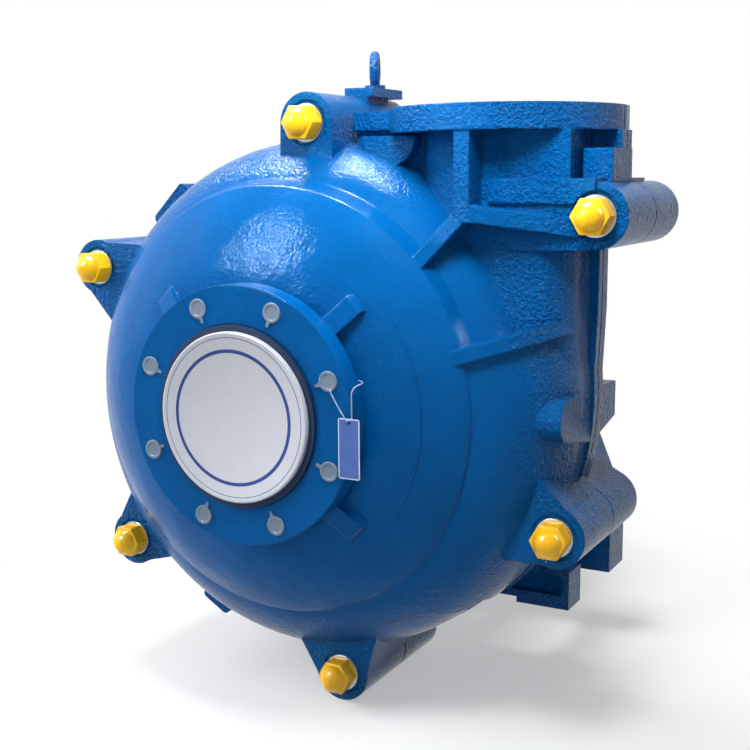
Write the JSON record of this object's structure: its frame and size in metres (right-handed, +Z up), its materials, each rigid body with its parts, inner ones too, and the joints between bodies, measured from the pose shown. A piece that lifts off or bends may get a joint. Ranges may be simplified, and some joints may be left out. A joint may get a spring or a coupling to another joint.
{
  "type": "slurry pump",
  "caption": "Horizontal centrifugal slurry pump: split volute casing with bolted lugs, upright discharge flange, capped intake, and a shaft with bearing housing on a cast base.",
  "frame": {"origin": "centre of the four foot bolt holes, on the underside of the feet", "axes": "+Z up, +Y along the shaft from the intake to the drive end, +X towards the side of the discharge"},
  "size_m": [0.8699, 1.3072, 0.9285],
  "materials": {
    "blue_enamel": "glossy enamel over cast iron",
    "hard_iron": "as-cast hard white iron, machined joint faces",
    "machined_steel": "turned and ground",
    "plated_steel": "zinc plated",
    "bronze": "machined",
    "packing": "braided and greased",
    "rubber": "moulded",
    "yellow_cap": "moulded",
    "plug": "thin and slightly clear",
    "cover_disc": "printed ring, smooth",
    "tag": "card under film",
    "tag_string": "thin cord"
  },
  "bodies": {
    "casing_and_base": {"cover_plate": "blue_enamel", "frame_plate": "blue_enamel", "base_frame": "blue_enamel", "stuffing_box": "blue_enamel", "volute_liner": "hard_iron", "throatbush": "hard_iron", "frame_plate_liner_insert": "hard_iron", "neck_ring": "bronze", "lantern_ring": "bronze", "packing_rings": "packing", "gland_studs": "plated_steel", "cover_plate_bolts": "plated_steel", "cover_bolt_washers": "plated_steel", "cover_plate_nuts": "plated_steel", "bolt_caps": "yellow_cap", "base_studs": "plated_steel", "base_stud_nuts": "plated_steel", "clamp_bolts": "plated_steel", "clamp_washers": "plated_steel", "adjusting_screw": "plated_steel", "screw_locknut": "plated_steel", "intake_joint_ring": "rubber", "discharge_joint_ring": "rubber", "inlet_cover_disc": "cover_disc", "flange_hole_plugs": "plug", "eyebolt": "blue_enamel", "tag_string": "tag_string"},
    "bearing_assembly": {"bearing_housing": "blue_enamel", "impeller_end_cover": "blue_enamel", "drive_end_cover": "blue_enamel", "end_cover_bolts": "plated_steel", "impeller_end_outer_ring": "machined_steel", "drive_end_outer_ring": "machined_steel", "grease_nipples": "plated_steel"},
    "rotor": {"shaft": "machined_steel", "impeller": "hard_iron", "shaft_sleeve": "machined_steel", "shaft_spacer": "machined_steel", "bearing_locknut": "machined_steel", "impeller_end_labyrinth": "machined_steel", "drive_end_labyrinth": "machined_steel", "impeller_end_inner_ring": "machined_steel", "drive_end_inner_ring": "machined_steel"},
    "impeller_end_roller_set": {"impeller_end_rollers": "machined_steel", "impeller_end_cage": "bronze"},
    "drive_end_roller_set": {"drive_end_rollers": "machined_steel", "drive_end_cage": "bronze"},
    "adjusting_nut_pair": {"adjusting_nuts": "plated_steel"},
    "gland": {"gland_halves": "blue_enamel"},
    "left_gland_nut": {"gland_nut_left": "plated_steel"},
    "right_gland_nut": {"gland_nut_right": "plated_steel"},
    "tag": {"hang_tag": "tag"}
  },
  "joints": [
    {"name": "bearing_assembly_adjust", "type": "slide", "parent": "casing_and_base", "child": "bearing_assembly", "axis": [0, 1, 0], "range_m": [-0.002, 0.002]},
    {"name": "rotor_spin", "type": "hinge", "parent": "bearing_assembly", "child": "rotor", "pos_m": [0, 0.158, 0.345], "axis": [0, 1, 0], "continuous": true},
    {"name": "impeller_end_roller_orbit", "type": "hinge", "parent": "bearing_assembly", "child": "impeller_end_roller_set", "pos_m": [0, 0.119, 0.345], "axis": [0, 1, 0], "continuous": true},
    {"name": "drive_end_roller_orbit", "type": "hinge", "parent": "bearing_assembly", "child": "drive_end_roller_set", "pos_m": [0, 0.411, 0.345], "axis": [0, 1, 0], "continuous": true},
    {"name": "adjusting_nut_turn", "type": "hinge", "parent": "bearing_assembly", "child": "adjusting_nut_pair", "pos_m": [0, 0.246, 0.173], "axis": [0, 1, 0], "range_deg": [-241, 241]},
    {"name": "gland_slide", "type": "slide", "parent": "casing_and_base", "child": "gland", "axis": [0, 1, 0], "range_m": [0, 0.012]},
    {"name": "left_gland_nut_turn", "type": "hinge", "parent": "gland", "child": "left_gland_nut", "pos_m": [-0.098, 0.011, 0.345], "axis": [0, 1, 0], "range_deg": [-1, 2161]},
    {"name": "right_gland_nut_turn", "type": "hinge", "parent": "gland", "child": "right_gland_nut", "pos_m": [0.098, 0.011, 0.345], "axis": [0, 1, 0], "range_deg": [-1, 2161]},
    {"name": "tag_swing", "type": "hinge", "parent": "casing_and_base", "child": "tag", "pos_m": [0.17, -0.548, 0.35545], "axis": [-1, 0, 0], "range_deg": [0, 20]}
  ],
  "couplings": [
    {"joint": "impeller_end_roller_orbit", "follows": "rotor_spin", "ratio": 0.42857},
    {"joint": "drive_end_roller_orbit", "follows": "rotor_spin", "ratio": 0.42857},
    {"joint": "adjusting_nut_turn", "follows": "bearing_assembly_adjust", "rad_per_m": 2094.4},
    {"joint": "left_gland_nut_turn", "follows": "gland_slide", "rad_per_m": 3141.6},
    {"joint": "right_gland_nut_turn", "follows": "gland_slide", "rad_per_m": 3141.6}
  ]
}
